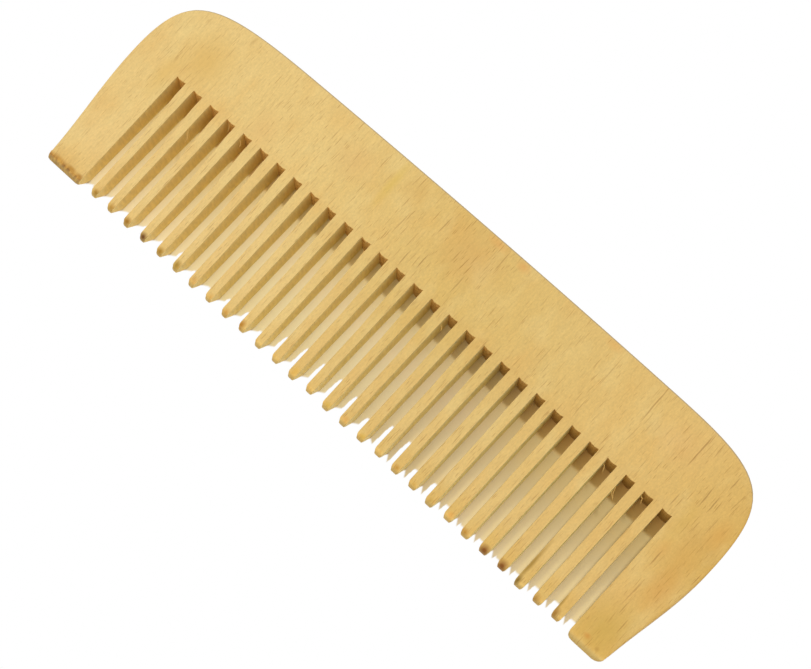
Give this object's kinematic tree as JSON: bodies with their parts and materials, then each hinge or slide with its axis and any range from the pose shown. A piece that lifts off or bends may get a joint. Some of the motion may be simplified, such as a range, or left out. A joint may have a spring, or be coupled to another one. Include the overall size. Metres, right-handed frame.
{
  "type": "hair comb",
  "caption": "Solid wooden hair comb: a wedge-shaped board with an arched back, rounded shoulders, wide end guards and a row of straight sawn teeth.",
  "frame": {"origin": "centre of the comb's length and width on its flat underside", "axes": "+X along the comb, +Y from the tips of the teeth to the back, +Z from the flat underside up to the sloping face"},
  "size_m": [0.1498, 0.0466, 0.0084],
  "materials": {
    "beech": "planed and sanded beech, unvarnished, matt to faintly satin"
  },
  "bodies": {
    "root": {"comb": "beech"}
  },
  "joints": []
}
